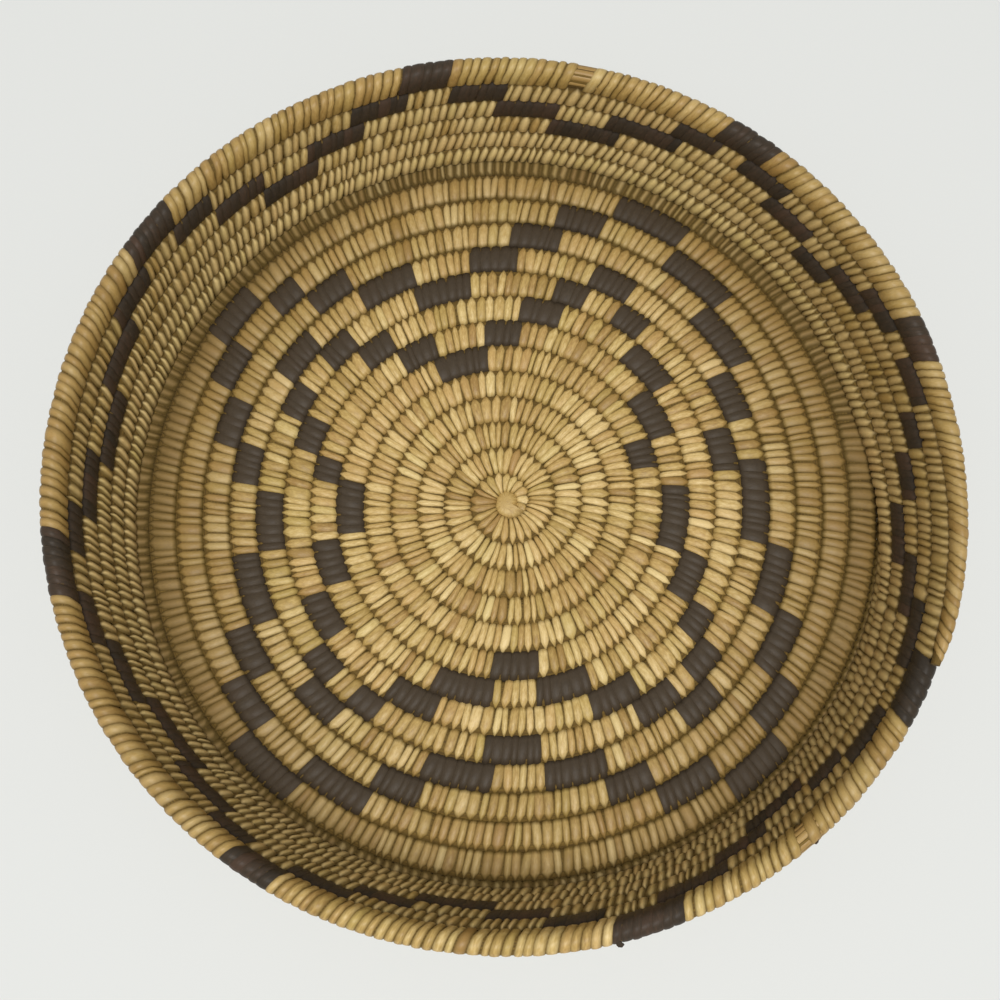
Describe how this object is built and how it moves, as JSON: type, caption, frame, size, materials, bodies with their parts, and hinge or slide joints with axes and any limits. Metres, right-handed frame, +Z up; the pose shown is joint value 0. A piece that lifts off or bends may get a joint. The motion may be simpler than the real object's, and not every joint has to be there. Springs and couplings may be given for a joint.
{
  "type": "coiled basket tray",
  "caption": "Round coiled basket tray with a flat spiral floor, a low leaning wall and a stepped pattern of dark splint runs.",
  "frame": {"origin": "centre of the tray's outline, on the plane it stands on", "axes": "+Z up out of the tray's mouth, -Y towards the side that is nearest in the picture, +X to its right"},
  "size_m": [0.351, 0.347, 0.0711],
  "materials": {
    "foundation": "dry straw-coloured stems, matte",
    "light_splint": "split plant strip, golden tan, low sheen",
    "dark_splint": "dyed plant strip, brown-black, low sheen"
  },
  "bodies": {
    "root": {"floor_coil": "foundation", "rim_dark_splint_01": "dark_splint", "rim_dark_splint_02": "dark_splint", "rim_dark_splint_03": "dark_splint", "rim_dark_splint_04": "dark_splint", "rim_dark_splint_05": "dark_splint", "rim_dark_splint_06": "dark_splint", "rim_dark_splint_07": "dark_splint", "rim_dark_splint_08": "dark_splint", "rim_light_splint_01": "light_splint", "rim_light_splint_02": "light_splint", "rim_light_splint_03": "light_splint", "rim_light_splint_04": "light_splint", "rim_light_splint_05": "light_splint", "rim_light_splint_06": "light_splint", "rim_light_splint_07": "light_splint", "rim_light_splint_08": "light_splint", "start_knot": "foundation", "upper_dark_splint_01": "dark_splint", "upper_dark_splint_02": "dark_splint", "upper_dark_splint_03": "dark_splint", "upper_dark_splint_04": "dark_splint", "upper_dark_splint_05": "dark_splint", "upper_dark_splint_06": "dark_splint", "upper_dark_splint_07": "dark_splint", "upper_dark_splint_08": "dark_splint", "upper_dark_splint_09": "dark_splint", "upper_dark_splint_10": "dark_splint", "upper_dark_splint_11": "dark_splint", "upper_dark_splint_12": "dark_splint", "upper_dark_splint_13": "dark_splint", "upper_dark_splint_14": "dark_splint", "upper_dark_splint_15": "dark_splint", "upper_dark_splint_16": "dark_splint", "upper_light_splint_01": "light_splint", "upper_light_splint_02": "light_splint", "upper_light_splint_03": "light_splint", "upper_light_splint_04": "light_splint", "upper_light_splint_05": "light_splint", "upper_light_splint_06": "light_splint", "upper_light_splint_07": "light_splint", "upper_light_splint_08": "light_splint", "upper_light_splint_09": "light_splint", "upper_light_splint_10": "light_splint", "upper_light_splint_11": "light_splint", "upper_light_splint_12": "light_splint", "upper_light_splint_13": "light_splint", "upper_light_splint_14": "light_splint", "upper_light_splint_15": "light_splint", "upper_light_splint_16": "light_splint", "wall_coil": "foundation"}
  },
  "joints": []
}
